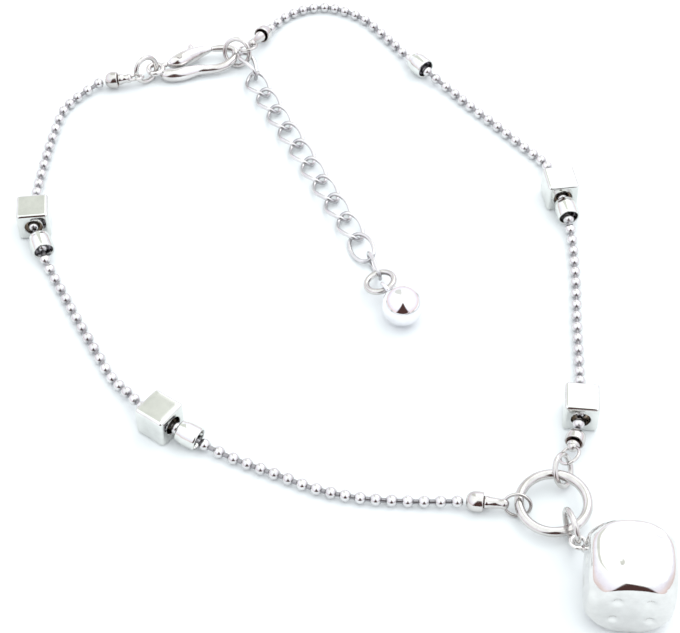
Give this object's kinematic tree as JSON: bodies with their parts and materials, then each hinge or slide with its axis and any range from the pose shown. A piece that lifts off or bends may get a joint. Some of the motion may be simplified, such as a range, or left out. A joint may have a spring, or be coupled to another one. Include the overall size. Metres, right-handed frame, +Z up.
{
  "type": "anklet",
  "caption": "Payal anklet of small ball chain with cube beads, a puffy die charm on a ring, a lobster clasp and an extension chain ending in a ball.",
  "frame": {"origin": "bottom centre of the bounding box, on the surface the anklet lies on", "axes": "+Z up from the surface, +Y from the charm towards the clasp along the long way of the loop, +X to the right as seen from the charm's side"},
  "size_m": [0.075, 0.1042, 0.0089],
  "materials": {
    "chain_metal": "bright rhodium-like plating",
    "bead_metal": "bright rhodium-like plating",
    "ring_metal": "bright rhodium-like plating",
    "clasp_metal": "bright rhodium-like plating",
    "drop_metal": "bright rhodium-like plating",
    "die_metal": "bright rhodium-like plating"
  },
  "bodies": {
    "anklet": {"ball_drop": "drop_metal", "centre_ring": "ring_metal", "chain_end_bottom": "ring_metal", "chain_end_left": "ring_metal", "chain_end_right": "ring_metal", "chain_end_top": "ring_metal", "charm_bail": "ring_metal", "clasp_body": "clasp_metal", "cube_bead_1": "bead_metal", "cube_bead_2": "bead_metal", "cube_bead_3": "bead_metal", "cube_bead_4": "bead_metal", "die_charm": "die_metal", "drop_ring": "ring_metal", "end_link": "chain_metal", "left_end_ring": "ring_metal", "link_01": "chain_metal", "link_02": "chain_metal", "link_03": "chain_metal", "link_04": "chain_metal", "link_05": "chain_metal", "link_06": "chain_metal", "link_07": "chain_metal", "link_08": "chain_metal", "link_09": "chain_metal", "link_10": "chain_metal", "right_end_ring": "ring_metal", "small_link": "chain_metal", "small_ring": "ring_metal", "stopper_bead_1": "bead_metal", "stopper_bead_2": "bead_metal", "stopper_bead_3": "bead_metal", "stopper_bead_4": "bead_metal", "strand_left": "chain_metal", "strand_right": "chain_metal"},
    "clasp_lever": {"clasp_lever": "clasp_metal"}
  },
  "joints": [
    {"name": "clasp_lever_hinge", "type": "hinge", "parent": "anklet", "child": "clasp_lever", "pos_m": [-0.01903, 0.03858, 0.00134], "axis": [0, 0, -1], "range_deg": [0, 18], "stiffness_Nm_per_rad": 0.01}
  ]
}
